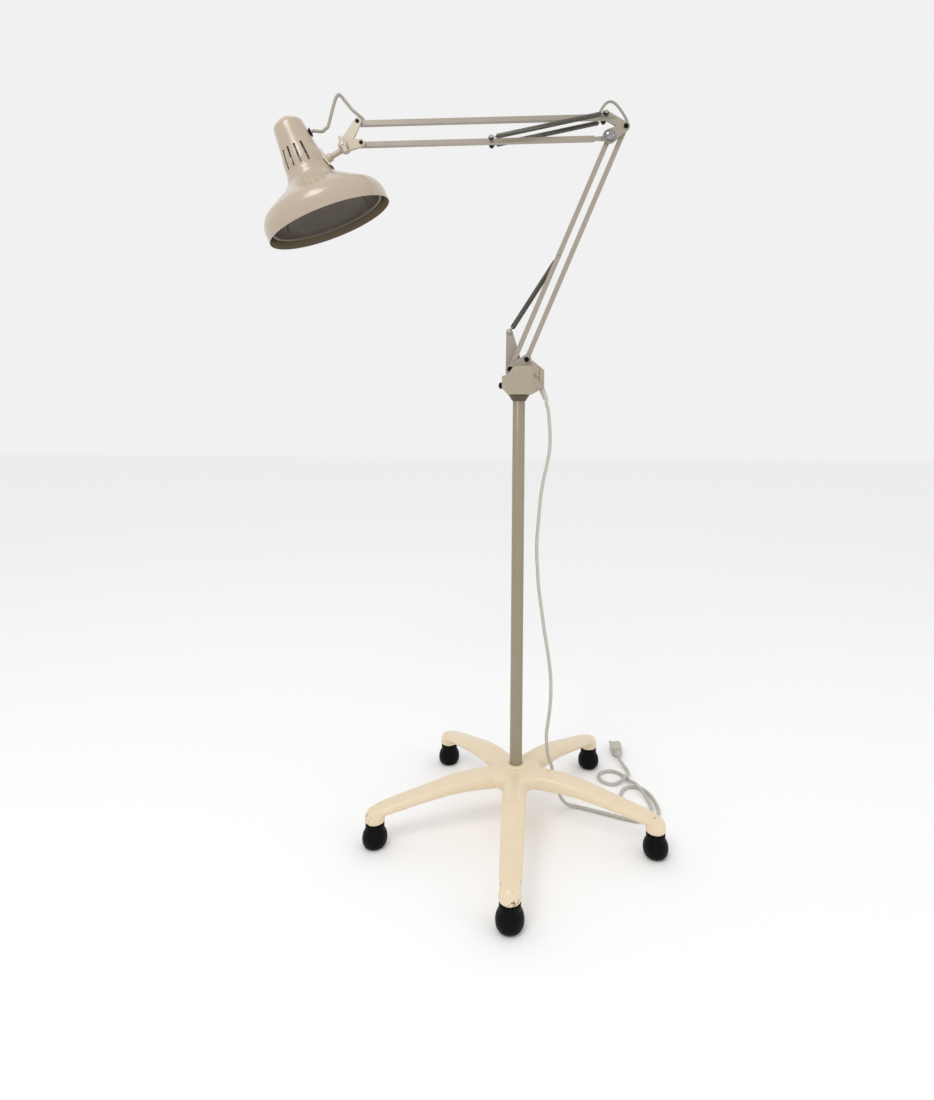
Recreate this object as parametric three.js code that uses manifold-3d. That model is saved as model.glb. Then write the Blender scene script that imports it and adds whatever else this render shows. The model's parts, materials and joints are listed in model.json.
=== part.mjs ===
// Floor-standing task lamp: a five-leg base, a fixed pole, a swivelling spring bracket, two
// parallelogram arms and a bell shade. Millimetres, +Z up, +X to the right seen from the front.
// The arms move in the XZ plane. Every piece is built where it sits on the lamp.
import * as THREE from "three";
import { mergeVertices } from "three/addons/utils/BufferGeometryUtils.js";
import Module from "manifold-3d";

const wasm = await Module();
wasm.setup();

// ---------------------------------------------------------------- driving dimensions
const FOOT_CIRCLE = 280.5; // radius of the circle through the five glides
const LEG_COUNT = 5;
const FIRST_LEG = -92.45; // angle of the front leg, degrees
const POLE_RADIUS = 12.5;
const POLE_WALL = 1.5;
const POLE_BOTTOM = 96.3;
const POLE_TOP = 862;
const BAR = 10; // side of the square arm tubes
const BAR_WALL = 1;
const GAP = 0.3; // running clearance
const LOWER_ARM = 510;
const LOWER_ANGLE = 22.6; // lower arm, degrees right of upright
const UPPER_ARM = 500;
const UPPER_ANGLE = 2; // upper arm, degrees below level
const SHADE_TILT = 23.4; // shade axis from upright, degrees
const HEAD_ROLL = 6.05; // shade turned about its stem, degrees
const SHADE_LENGTH = 225;
const SHADE_WALL = 1.3;
const UPPER_SPRING_AT = 238; // pin on the bottom bar, distance from the elbow
const LOWER_SPRING_AT = 255; // pin on the front bar, distance from the bracket
const SPRING_OFFSET = 20; // upper springs either side of the arm plane
const MAINS_RADIUS = 3.5;

// ---------------------------------------------------------------- the linkage, XZ plane
const at = (x, z) => new THREE.Vector2(x, z);
const along = (from, angle, length) =>
  at(from.x + Math.cos(angle) * length, from.y + Math.sin(angle) * length);
const rad = THREE.MathUtils.degToRad;

const lowerFront = at(-18.5, 919.5); // bracket pivot of the front bar
const lowerLink = at(33, 20); // front pivot to rear pivot
const lowerRear = lowerFront.clone().add(lowerLink);
const elbowLow = along(lowerFront, rad(90 - LOWER_ANGLE), LOWER_ARM);
const elbowRear = elbowLow.clone().add(lowerLink);
const upperLink = at(8, -43); // top pivot to bottom pivot
const elbowTop = elbowLow.clone().sub(upperLink);
const headTop = along(elbowTop, rad(180 + UPPER_ANGLE), UPPER_ARM);
const headLow = headTop.clone().add(upperLink);
const clamp = headTop.clone().add(at(-26.8, -49.9)); // wing nut and stem eye
const leverTop = at(-20.4, 997.5);
const lowerSpringPin = along(lowerFront, rad(90 - LOWER_ANGLE), LOWER_SPRING_AT);
const upperSpringPin = along(elbowLow, rad(180 + UPPER_ANGLE), UPPER_SPRING_AT);

// ---------------------------------------------------------------- colours
const colours = {
  cream: 0xd9ccb4,
  arm: 0xc6bba8,
  housing: 0xb3a893,
  pole: 0xbdb39d,
  steel: 0x8f8c88,
  spring: 0x4c4a48,
  black: 0x1d1c1b,
  chrome: 0xd9dadb,
  cable: 0x8b857d,
  mains: 0xbcb8b0,
  liner: 0xd6d3cb,
  porcelain: 0xe6e0d2,
  glass: 0xf2efe6,
  brass: 0xb59a58,
};

// ---------------------------------------------------------------- solids
function solid(geometry) {
  geometry.deleteAttribute("normal");
  geometry.deleteAttribute("uv");
  const merged = mergeVertices(geometry, 1e-4);
  const points = merged.attributes.position.array;
  const index = [];
  const source = merged.index.array;
  for (let i = 0; i < source.length; i += 3) {
    const [a, b, c] = [source[i], source[i + 1], source[i + 2]];
    if (a !== b && b !== c && c !== a) index.push(a, b, c);
  }
  if (signedVolume(points, index) < 0) {
    for (let i = 0; i < index.length; i += 3) {
      [index[i], index[i + 1]] = [index[i + 1], index[i]];
    }
  }
  const mesh = new wasm.Mesh({
    numProp: 3,
    vertProperties: new Float32Array(points),
    triVerts: new Uint32Array(index),
  });
  return new wasm.Manifold(mesh);
}

function signedVolume(points, index) {
  const corner = [new THREE.Vector3(), new THREE.Vector3(), new THREE.Vector3()];
  let sum = 0;
  for (let i = 0; i < index.length; i += 3) {
    for (let k = 0; k < 3; k++) corner[k].fromArray(points, index[i + k] * 3);
    sum += corner[0].dot(corner[1].clone().cross(corner[2]));
  }
  return sum;
}

const join = (first, ...rest) => rest.reduce((sum, piece) => sum.add(piece), first);
const cut = (first, ...rest) => rest.reduce((left, piece) => left.subtract(piece), first);

function geometryOf(body) {
  const mesh = body.getMesh();
  const geometry = new THREE.BufferGeometry();
  const positions = new Float32Array((mesh.vertProperties.length / mesh.numProp) * 3);
  for (let i = 0; i < positions.length / 3; i++) {
    for (let k = 0; k < 3; k++) positions[i * 3 + k] = mesh.vertProperties[i * mesh.numProp + k];
  }
  geometry.setAttribute("position", new THREE.BufferAttribute(positions, 3));
  geometry.setIndex(Array.from(mesh.triVerts));
  return geometry;
}

// A cylinder along Y through an arm-plane point.
function pinY(point, radius, y0, y1, sides = 12) {
  const geometry = new THREE.CylinderGeometry(radius, radius, y1 - y0, sides);
  return solid(geometry.translate(point.x, (y0 + y1) / 2, point.y));
}

// A profile of [radius, height] pairs turned about a line from a point along a direction.
function turned(profile, origin, direction, segments = 24) {
  const points = profile.map(([radius, height]) => new THREE.Vector2(radius, height));
  const geometry = new THREE.LatheGeometry(points, segments);
  const up = new THREE.Vector3(0, 1, 0);
  geometry.applyQuaternion(new THREE.Quaternion().setFromUnitVectors(up, direction));
  return solid(geometry.translate(origin.x, origin.y, origin.z));
}

const upright = new THREE.Vector3(0, 0, 1);
const turnedZ = (profile, x = 0, y = 0, segments = 24) =>
  turned(profile, new THREE.Vector3(x, y, 0), upright, segments);

function rod(from, to, radius, sides = 12, endRadius = radius) {
  const span = to.clone().sub(from);
  const length = span.length();
  const profile = [[0, 0], [radius, 0], [endRadius, length], [0, length]];
  return turned(profile, from, span.normalize(), sides);
}

// A flat outline in the arm plane, extruded along Y.
function outlineSlab(points, y0, y1) {
  const shape = new THREE.Shape(points.map((point) => new THREE.Vector2(point.x, point.y)));
  const geometry = new THREE.ExtrudeGeometry(shape, { depth: y1 - y0, bevelEnabled: false });
  return solid(geometry.rotateX(Math.PI / 2).translate(0, y1, 0));
}

function convexHull(points) {
  const sorted = [...points].sort((a, b) => a.x - b.x || a.y - b.y);
  const turn = (o, a, b) => (a.x - o.x) * (b.y - o.y) - (a.y - o.y) * (b.x - o.x);
  const chain = (list) => {
    const kept = [];
    for (const point of list) {
      while (kept.length > 1 && turn(kept.at(-2), kept.at(-1), point) <= 1e-6) kept.pop();
      kept.push(point);
    }
    return kept.slice(0, -1);
  };
  return [...chain(sorted), ...chain([...sorted].reverse())];
}

// A plate round a set of [centre, radius] discs: bosses, links and tapered levers.
function plate(discs, y0, y1, sides = 16) {
  const points = [];
  for (const [centre, radius] of discs) {
    for (let i = 0; i < sides; i++) {
      points.push(along(centre, (i / sides) * Math.PI * 2, radius));
    }
  }
  return outlineSlab(convexHull(points), y0, y1);
}

// A square bar between two arm-plane points, longer than the span at each end.
function beam(from, to, before, after, half, y0, y1) {
  const length = to.clone().sub(from).length() + before + after;
  const angle = Math.atan2(to.y - from.y, to.x - from.x);
  const middle = along(from, angle, length / 2 - before);
  const geometry = new THREE.BoxGeometry(length, y1 - y0, half * 2);
  geometry.rotateY(-angle);
  return solid(geometry.translate(middle.x, (y0 + y1) / 2, middle.y));
}

function squareTube(from, to, before, after) {
  const half = BAR / 2;
  const inner = half - BAR_WALL;
  const outside = beam(from, to, before, after, half, -half, half);
  return cut(outside, beam(from, to, before + 1, after + 1, inner, -inner, inner));
}

// A round rod swept along a smooth line of points.
function cable(points, radius, sides = 8, steps = points.length * 3, loose = 0.5) {
  const curve = new THREE.CatmullRomCurve3(points, false, "catmullrom", loose);
  const circle = new THREE.Shape();
  circle.absarc(0, 0, radius, 0, Math.PI * 2);
  const geometry = new THREE.ExtrudeGeometry(circle, {
    steps,
    curveSegments: sides / 2,
    extrudePath: curve,
    bevelEnabled: false,
  });
  return solid(geometry);
}

const inPlane = (pairs, y = 0) => pairs.map(([x, z]) => new THREE.Vector3(x, y, z));
const lift = (point, y) => new THREE.Vector3(point.x, y, point.y);

// ---------------------------------------------------------------- the lamp
const lamp = new THREE.Group();
lamp.name = "task_floor_lamp";

function add(name, body, colour, roughness = 0.5, metalness = 0) {
  const material = new THREE.MeshStandardMaterial({ color: colours[colour] });
  material.name = `${name}_${colour}`;
  material.roughness = roughness;
  material.metalness = metalness;
  const mesh = new THREE.Mesh(geometryOf(body), material);
  mesh.name = name;
  lamp.add(mesh);
  return mesh;
}

// ---------------------------------------------------------------- base
// Leg stations: distance from the pole, centre height, height, width.
const LEG_STATIONS = [
  [20, 99, 35, 50],
  [70, 99.5, 34, 48],
  [123, 97.5, 30, 46],
  [199, 83, 22.5, 43],
  [255, 71, 20.5, 41],
  [279, 65, 18, 36],
];

function leg(angle) {
  const centre = new THREE.CatmullRomCurve3(
    LEG_STATIONS.map(([out, height]) => new THREE.Vector3(out, height, 0)));
  const size = new THREE.CatmullRomCurve3(
    LEG_STATIONS.map(([, , tall, wide]) => new THREE.Vector3(tall, wide, 0)));
  const geometry = new THREE.CylinderGeometry(1, 1, 1, 14, 7);
  const vertices = geometry.attributes.position;
  for (let i = 0; i < vertices.count; i++) {
    const travel = vertices.getY(i) + 0.5;
    const middle = centre.getPoint(travel);
    const section = size.getPoint(travel);
    const side = vertices.getX(i);
    const top = vertices.getZ(i);
    const squared = 1 + 0.12 * Math.pow(2 * side * top, 2); // slightly boxy oval
    vertices.setXYZ(
      i,
      middle.x,
      (side * squared * section.y) / 2,
      middle.y + (top * squared * section.x) / 2,
    );
  }
  const boot = turnedZ([[0, 45], [19, 45], [20, 49], [19.6, 58], [16.5, 66.5], [9, 72], [0, 74]],
    FOOT_CIRCLE, 0, 14);
  const stud = turnedZ([[0, 40], [5.6, 40], [5.6, 60], [0, 60]], FOOT_CIRCLE, 0, 10);
  const whole = cut(join(solid(geometry), boot), stud);
  return whole.rotate([0, 0, angle]);
}

const HUB = [
  [0, 84], [42, 84], [51, 88], [56, 97], [55, 108], [48, 115.6], [31, 117.2], [30, 118.6],
  [20.6, 119], [19.6, 121.8], [0, 121.8],
];
const legAngles = Array.from({ length: LEG_COUNT }, (_, i) => FIRST_LEG + (i * 360) / LEG_COUNT);
const star = join(turnedZ(HUB, 0, 0, 24), ...legAngles.map(leg));
const poleSocket = turnedZ(
  [[0, POLE_BOTTOM - GAP], [POLE_RADIUS + GAP, POLE_BOTTOM - GAP], [POLE_RADIUS + GAP, 130], [0, 130]],
  0, 0, 28);
const boltHole = turnedZ([[0, 60], [5.3, 60], [5.3, 130], [0, 130]], 0, 0, 12);
add("star_base", cut(star, poleSocket, boltHole), "cream", 0.42);

const GLIDE = [
  [0, 0], [13, 0], [20, 4], [23.4, 11], [23.8, 18], [22, 27], [18.6, 35], [17.2, 39], [17, 44.7],
  [5.2, 44.7], [5.2, 59], [0, 59],
];
const glideNames = ["front", "front_right", "back_right", "back_left", "front_left"];
legAngles.forEach((angle, i) => {
  const spot = along(at(0, 0), rad(angle), FOOT_CIRCLE);
  add(`glide_${glideNames[i]}`, turnedZ(GLIDE, spot.x, spot.y, 18), "black", 0.6);
});

// ---------------------------------------------------------------- pole
const polePlug = POLE_BOTTOM + 16;
const tubeInside = POLE_RADIUS - POLE_WALL;
add("pole", turnedZ([
  [5.3, POLE_BOTTOM], [POLE_RADIUS, POLE_BOTTOM], [POLE_RADIUS, POLE_TOP],
  [tubeInside, POLE_TOP], [tubeInside, polePlug], [5.3, polePlug], [5.3, POLE_BOTTOM],
], 0, 0, 28), "pole", 0.4);
add("pole_bolt", turnedZ([
  [0, 77], [10, 77], [10, 83.7], [5, 83.7], [5, polePlug + 3], [0, polePlug + 3],
], 0, 0, 12), "steel", 0.4, 1);
const bushInside = 7.3;
add("pole_bush", turnedZ([
  [bushInside, 835], [tubeInside - GAP, 835], [tubeInside - GAP, POLE_TOP + GAP],
  [POLE_RADIUS + GAP, POLE_TOP + GAP], [POLE_RADIUS + GAP, 856], [13.6, 856], [20.5, 866.5],
  [20.5, 868], [bushInside, 868], [bushInside, 835],
], 0, 0, 28), "black", 0.55);

// ---------------------------------------------------------------- swivelling bracket
add("swivel_pin", turnedZ([
  [0, 837], [7, 837], [7, 868.4], [11.5, 868.4], [11.5, 877.7], [5, 877.7], [5, 882.3],
  [9, 882.3], [9, 887.5], [0, 887.5],
], 0, 0, 24), "steel", 0.4, 1);

const CHEEK_IN = 6.5;
const CHEEK_OUT = 10;
const floorTop = 882;
const cheek = (y0, y1) => plate([
  [at(-20.5, 879.5), 1.5], [at(20.5, 879.5), 1.5], [lowerRear, 10], [lowerFront, 9.5],
], y0, y1);
const bracketFloor = solid(new THREE.BoxGeometry(44, CHEEK_OUT * 2, 4).translate(0, 0, 880));
const bracketBody = join(
  bracketFloor, cheek(-CHEEK_OUT, -CHEEK_IN), cheek(CHEEK_IN, CHEEK_OUT));
add("arm_bracket", cut(
  bracketBody,
  turnedZ([[0, 870], [5.3, 870], [5.3, 890], [0, 890]], 0, 0, 24),
  turnedZ([[0, 882], [9.4, 882], [9.4, 890], [0, 890]], 0, 0, 24),
  pinY(lowerFront, 3.8, -20, 20),
  pinY(lowerRear, 3.8, -20, 20),
), "arm", 0.45);

const LEVER_IN = CHEEK_OUT + GAP;
const LEVER_OUT = LEVER_IN + 3;
const leverFoot = at(2, 921);
add("spring_lever", cut(
  plate([[lowerFront, 9], [leverFoot, 7], [leverTop, 6.5]], LEVER_IN, LEVER_OUT),
  pinY(lowerFront, 3.8, 0, 20),
  pinY(leverTop, 3.3, 0, 20),
), "arm", 0.45);

// Housing: an outline in the arm plane, hollowed, split into a front and a back shell.
const HOUSING = [
  at(-34.6, 882), at(-22, 868.5), at(24, 868.5), at(50.7, 884), at(50.4, 919), at(25, 937),
  at(24, 926.5), at(-6, 925.5), at(-13, 922.5), at(-19, 914), at(-26, 907.5), at(-34.8, 904.5),
];
const HOUSING_DEPTH = 25;

function inset(points, distance) {
  const count = points.length;
  const edge = (i) => {
    const from = points[i % count];
    const to = points[(i + 1) % count];
    const way = to.clone().sub(from).normalize();
    const inward = at(-way.y, way.x);
    return { from: from.clone().addScaledVector(inward, distance), way };
  };
  return points.map((_, i) => {
    const one = edge(i + count - 1);
    const two = edge(i);
    const across = one.way.x * two.way.y - one.way.y * two.way.x;
    const gap = two.from.clone().sub(one.from);
    const reach = (gap.x * two.way.y - gap.y * two.way.x) / across;
    return one.from.clone().addScaledVector(one.way, reach);
  });
}

// The front corner of the right side is planed off, outside and inside.
const cornerPlane = solid(new THREE.BoxGeometry(100, 60, 160)
  .translate(30, -30, 0)
  .rotateZ(Math.atan2(17, 24.5))
  .translate(26, -HOUSING_DEPTH, 900));
const cavity = inset(HOUSING, 2);
const housingBody = cut(
  cut(outlineSlab(HOUSING, -HOUSING_DEPTH, HOUSING_DEPTH), cornerPlane),
  cut(outlineSlab(cavity, 2 - HOUSING_DEPTH, HOUSING_DEPTH - 2), cornerPlane.translate([-1.1, 1.7, 0])),
);
const slot = outlineSlab([at(-31, 893), at(41, 893), at(41, 960), at(-31, 960)], -15, 15);
const floorHole = turnedZ([[0, 860], [12.2, 860], [12.2, 875], [0, 875]], 0, 0, 28);
const screwSpots = [at(31, 879), at(37, 907)];
const button = 886.8;
const buttonHole = rod(
  new THREE.Vector3(-60, 0, button), new THREE.Vector3(-28, 0, button), 6.8, 24);
const glandTop = lift(at(43.5, 888), 0);
const glandBase = lift(at(46, 881), 0);
const glandEnd = lift(at(56.7, 854), 0);
const glandHole = rod(glandTop, glandBase.clone().lerp(glandEnd, 0.4), 3.6, 16);
const bosses = join(...screwSpots.map((spot) => pinY(spot, 4.4, 1 - HOUSING_DEPTH, HOUSING_DEPTH - 1, 16)));
const screwBores = join(...screwSpots.map((spot) => pinY(spot, 2.1, -14, 30, 12)));
const screwSinks = join(...screwSpots.map((spot) => pinY(spot, 4.1, 21, 30, 16)));
const housing = cut(
  join(housingBody, bosses.intersect(outlineSlab(HOUSING, -HOUSING_DEPTH, HOUSING_DEPTH))),
  slot, floorHole, buttonHole, glandHole, screwBores, screwSinks);
const halfSpace = (y0, y1) => solid(
  new THREE.BoxGeometry(400, y1 - y0, 400).translate(0, (y0 + y1) / 2, 900));
add("housing_front", housing.intersect(halfSpace(-60, -0.15)), "housing", 0.45);
add("housing_back", housing.intersect(halfSpace(0.15, 60)), "housing", 0.45);
screwSpots.forEach((spot, i) => {
  const screw = join(pinY(spot, 1.8, -13, 21.6, 12), pinY(spot, 3.7, 21.3, 24.2, 16));
  add(`housing_screw_${["low", "high"][i]}`, screw, "steel", 0.4, 1);
});

const buttonProfile = [[0, 0], [6.5, 0], [6.5, 13], [5.6, 15.5], [3, 16.8], [0, 17.2]];
add("switch_button", turned(buttonProfile, lift(at(-24.5, button), 0), new THREE.Vector3(-1, 0, 0), 28),
  "black", 0.45);

const chamferSide = outlineSlab([at(24, 868.1), at(70, 894.8), at(70, 920), at(24, 920)], -12, 12);
const glandCone = rod(glandBase.clone().lerp(glandTop, 0.6), glandEnd, 6.2, 20, 4.6);
const belowGland = solid(new THREE.BoxGeometry(40, 40, 40).translate(55, 0, 838));
add("cord_gland", join(
  cut(glandCone, chamferSide, belowGland),
  rod(glandTop, glandBase.clone().lerp(glandEnd, 0.25), 3.3, 16),
), "mains", 0.6);

// ---------------------------------------------------------------- lower arm
const PIN = 3.5;
const BORE = PIN + GAP;
const stopPin = (point) => pinY(point, BORE, -20, 20);
// The front tube ends in a fork at the elbow: the two walls across the plane are cut back.
const forkMouth = beam(elbowLow, lowerFront, 14, -LOWER_ARM + 28, 12, -4, 4);
add("lower_bar_front", cut(
  squareTube(lowerFront, elbowLow, 6, 7),
  forkMouth,
  stopPin(lowerFront),
  stopPin(elbowLow),
  pinY(lowerSpringPin, 2.8, -20, 20),
), "arm", 0.42);
add("lower_bar_rear", cut(
  squareTube(lowerRear, elbowRear, 6, 12),
  stopPin(lowerRear),
  stopPin(elbowRear),
), "arm", 0.42);
const flatHead = (point, radius, y0, y1) => pinY(point, radius, y0, y1);
add("pivot_pin_front", join(
  pinY(lowerFront, PIN, -11, LEVER_OUT + 1),
  flatHead(lowerFront, 5.5, -CHEEK_OUT - 2.6, -CHEEK_OUT - GAP),
  flatHead(lowerFront, 5.5, LEVER_OUT + GAP, LEVER_OUT + 1.6),
), "steel", 0.35, 1);
add("pivot_pin_rear", join(
  pinY(lowerRear, PIN, -11, 11),
  flatHead(lowerRear, 5, -CHEEK_OUT - 2.9, -CHEEK_OUT - GAP),
  flatHead(lowerRear, 5, CHEEK_OUT + GAP, CHEEK_OUT + 2.6),
), "steel", 0.35, 1);

const boltDome = [[0, 0], [5.2, 0], [5.2, 1.4], [4.2, 3.2], [2.2, 4.3], [0, 4.6]];
const nearSide = new THREE.Vector3(0, -1, 0);
const farSide = new THREE.Vector3(0, 1, 0);
add("lower_spring_bolt", join(
  turned(boltDome, lift(leverTop, LEVER_IN - GAP), nearSide, 24),
  pinY(leverTop, 3, LEVER_IN - 1, SPRING_OFFSET + 6),
  pinY(leverTop, 4.6, LEVER_OUT + GAP, LEVER_OUT + 2.4, 6),
  pinY(leverTop, 4.4, SPRING_OFFSET + 5, SPRING_OFFSET + 7),
), "chrome", 0.2, 1);
add("lower_spring_pin", join(
  pinY(lowerSpringPin, 2.5, -BAR / 2 - 1, SPRING_OFFSET + 6, 16),
  pinY(lowerSpringPin, 4.2, -BAR / 2 - 2.6, -BAR / 2 - GAP, 16),
  pinY(lowerSpringPin, 4.2, BAR / 2 + GAP, BAR / 2 + 3, 16),
  pinY(lowerSpringPin, 4.2, SPRING_OFFSET + 5, SPRING_OFFSET + 7, 16),
), "steel", 0.35, 1);

// A tension spring: a smooth sleeve for the coils, and at its first end the wire eye.
function springParts(from, to, y, radius, eye) {
  const start = lift(from, y);
  const end = lift(to, y);
  const span = end.clone().sub(start);
  const length = span.length();
  const way = span.clone().normalize();
  const point = (travel) => start.clone().addScaledVector(way, travel);
  const neck = eye + 1.6;
  const coilEnd = length - neck - 7;
  const profile = [
    [0, 8 + neck], [radius * 0.55, 8 + neck], [radius, 11 + neck], [radius, coilEnd - 4],
    [radius * 0.55, coilEnd - 1], [0, coilEnd - 1],
  ];
  const ring = (centre) => cut(pinY(centre, eye + 1.9, y - 0.9, y + 0.9),
    pinY(centre, eye, y - 2, y + 2, 20));
  const sleeve = turned(profile, start, way, 16);
  const nearEye = join(sleeve, rod(point(eye + 0.9), point(neck + 9), 0.9, 8), ring(from));
  const farEye = join(rod(point(coilEnd - 0.7), point(length - eye - 0.9), 0.9, 8), ring(to));
  return [nearEye, farEye];
}

const [lowerSpring, lowerHook] = springParts(leverTop, lowerSpringPin, SPRING_OFFSET, 5.5, 3.3);
add("lower_spring", lowerSpring, "spring", 0.4, 1);
add("lower_spring_hook", lowerHook, "spring", 0.4, 1);

// ---------------------------------------------------------------- elbow
const ELBOW_FAR = -6;
const ELBOW_NEAR = -13;
const elbowPlateBody = join(
  plate([[elbowTop, 9], [elbowRear, 8]], ELBOW_NEAR, ELBOW_FAR),
  plate([[elbowLow, 14], [elbowRear, 8]], ELBOW_NEAR, ELBOW_FAR),
  pinY(along(elbowTop, rad(-15), 16), 3, ELBOW_NEAR - 2.4, ELBOW_NEAR + 1),
);
const RIVET = 2.5;
const elbowPivots = join(
  pinY(elbowLow, 4.3, -20, 0), pinY(elbowRear, BORE, -20, 0), pinY(elbowTop, RIVET + GAP, -20, 0));
add("elbow_plate", cut(elbowPlateBody, elbowPivots), "cream", 0.42);
const KNOB_BACK = ELBOW_NEAR - GAP;
add("elbow_bolt", join(
  pinY(elbowLow, PIN, KNOB_BACK - 6, 7),
  pinY(elbowLow, 5.4, BAR / 2 + GAP, BAR / 2 + 3.6, 6),
), "steel", 0.35, 1);
const knobProfile = [
  [0, 0], [8, 0], [10.5, 2.2], [10.5, 5.2], [9, 8], [6, 10], [2.5, 10.9], [0, 11],
];
add("elbow_knob", cut(
  turned(knobProfile, lift(elbowLow, KNOB_BACK), nearSide, 32),
  pinY(elbowLow, PIN + GAP, KNOB_BACK - 6.5, KNOB_BACK + 1),
), "chrome", 0.12, 1);
add("elbow_screw", join(
  pinY(elbowRear, PIN, ELBOW_NEAR - 1, 7),
  pinY(elbowRear, 4.7, ELBOW_NEAR - 3.2, ELBOW_NEAR - GAP),
  pinY(elbowRear, 5, BAR / 2 + GAP, BAR / 2 + 2.6, 6),
), "black", 0.5);

// ---------------------------------------------------------------- upper arm
const BRIDGE_END = SPRING_OFFSET + 7;
const bridgePin = (point) => join(
  pinY(point, RIVET, -BRIDGE_END, BRIDGE_END, 16),
  pinY(point, 3.6, -BRIDGE_END, -BRIDGE_END + 1.6, 16),
  pinY(point, 3.6, BRIDGE_END - 1.6, BRIDGE_END, 16),
);
const SPOOL_IN = SPRING_OFFSET - 5.8;
const SPOOL_OUT = SPRING_OFFSET + 5;
const spool = (point, side) => {
  const drum = (radius, from, to) => pinY(
    point, radius, Math.min(side * from, side * to), Math.max(side * from, side * to), 18);
  return cut(
    join(drum(3.4, SPOOL_IN, SPOOL_OUT), drum(4.35, SPOOL_IN, SPOOL_IN + 3.4),
      drum(4.35, SPOOL_OUT - 1.8, SPOOL_OUT)),
    pinY(point, RIVET + GAP, -BRIDGE_END - 3, BRIDGE_END + 3, 12));
};
const sides = [["near", -1], ["far", 1]];
add("elbow_spring_pin", bridgePin(elbowTop), "steel", 0.35, 1);
for (const [side, sign] of sides) {
  add(`elbow_spool_${side}`, spool(elbowTop, sign), "black", 0.55);
}
const wireHole = (point) => rod(lift(point, 0), lift(at(point.x, point.y + 14), 0), 3.9, 16);
const topWireOut = along(elbowTop, rad(180 + UPPER_ANGLE), 10);
const topWireIn = along(headTop, rad(UPPER_ANGLE), 9.5);
add("upper_bar_top", cut(
  squareTube(elbowTop, headTop, 6, 5.5),
  pinY(elbowTop, RIVET + GAP, -20, 20),
  pinY(headTop, RIVET + GAP, -20, 20),
  wireHole(topWireOut),
  wireHole(topWireIn),
), "arm", 0.42);
add("upper_bar_bottom", cut(
  squareTube(elbowLow, headLow, -29, 5.5),
  pinY(upperSpringPin, RIVET + GAP, -20, 20),
  pinY(headLow, RIVET + GAP, -20, 20),
), "arm", 0.42);
const inward = along(elbowLow, rad(180 + UPPER_ANGLE), 30);
const tongueEnd = along(elbowLow, rad(180 + UPPER_ANGLE), 58);
add("bar_tongue", cut(
  join(plate([[elbowLow, 5], [inward, 3.7]], -2, 2), beam(inward, tongueEnd, 0, 0, 3.7, -3.7, 3.7)),
  stopPin(elbowLow),
), "steel", 0.4, 1);
add("bar_spring_pin", bridgePin(upperSpringPin), "steel", 0.35, 1);
for (const [side, sign] of sides) {
  add(`bar_spool_${side}`, spool(upperSpringPin, sign), "black", 0.55);
  const [coil, hook] = springParts(elbowTop, upperSpringPin, sign * SPRING_OFFSET, 5, 3.7);
  add(`upper_spring_${side}`, coil, "spring", 0.4, 1);
  add(`upper_hook_${side}`, hook, "spring", 0.4, 1);
}

const elbowLoop = inPlane([
  [topWireOut.x, topWireOut.y + 1], [topWireOut.x, topWireOut.y + 9], [163.6, 1451], [171.6, 1461.6], [180.3, 1465.7],
  [188.9, 1462.7], [197, 1454.7], [204.5, 1444.5], [211, 1434], [214.6, 1426], [215.2, 1421.5],
]);
add("elbow_cable", cable(elbowLoop, 2.8, 8, 22), "cable", 0.55);

// ---------------------------------------------------------------- head joint
const HEAD_FAR = -6;
const HEAD_NEAR = -13;
const CLAMP = 3;
add("head_bracket", cut(
  join(
    plate([[clamp, 12], [headTop, 7.5]], HEAD_NEAR, HEAD_FAR),
    plate([[clamp, 12], [headLow, 7.5]], HEAD_NEAR, HEAD_FAR),
  ),
  pinY(clamp, CLAMP + GAP, -20, 0),
  pinY(headTop, RIVET + GAP, -20, 0),
  pinY(headLow, RIVET + GAP, -20, 0),
), "cream", 0.42);
[["top", headTop], ["bottom", headLow]].forEach(([name, spot]) => {
  add(`head_pin_${name}`, join(
    pinY(spot, RIVET, HEAD_NEAR - 1, 7, 16),
    pinY(spot, 3.8, HEAD_NEAR - 2.2, HEAD_NEAR - GAP, 16),
    pinY(spot, 3.8, BAR / 2 + GAP, BAR / 2 + 2.2, 16),
  ), "black", 0.5);
});
const NUT_BACK = HEAD_NEAR - GAP;
add("clamp_bolt", join(
  pinY(clamp, CLAMP, NUT_BACK - 12, 6, 16),
  pinY(clamp, 6, 4.8, 8.4),
), "steel", 0.35, 1);
const wing = (turn) => plate(
  [[along(clamp, rad(115 + turn), 6), 4.4], [along(clamp, rad(115 + turn), 13), 4]], NUT_BACK - 10.5, NUT_BACK - 5.5);
add("wing_nut", cut(
  join(
    turned([[0, 0], [8.6, 0], [9, 1.5], [8, 9], [6.4, 11], [0, 11]], lift(clamp, NUT_BACK), nearSide, 28),
    wing(0),
    wing(180),
  ),
  pinY(clamp, CLAMP + GAP, -40, 0, 16),
), "cream", 0.42);

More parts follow.
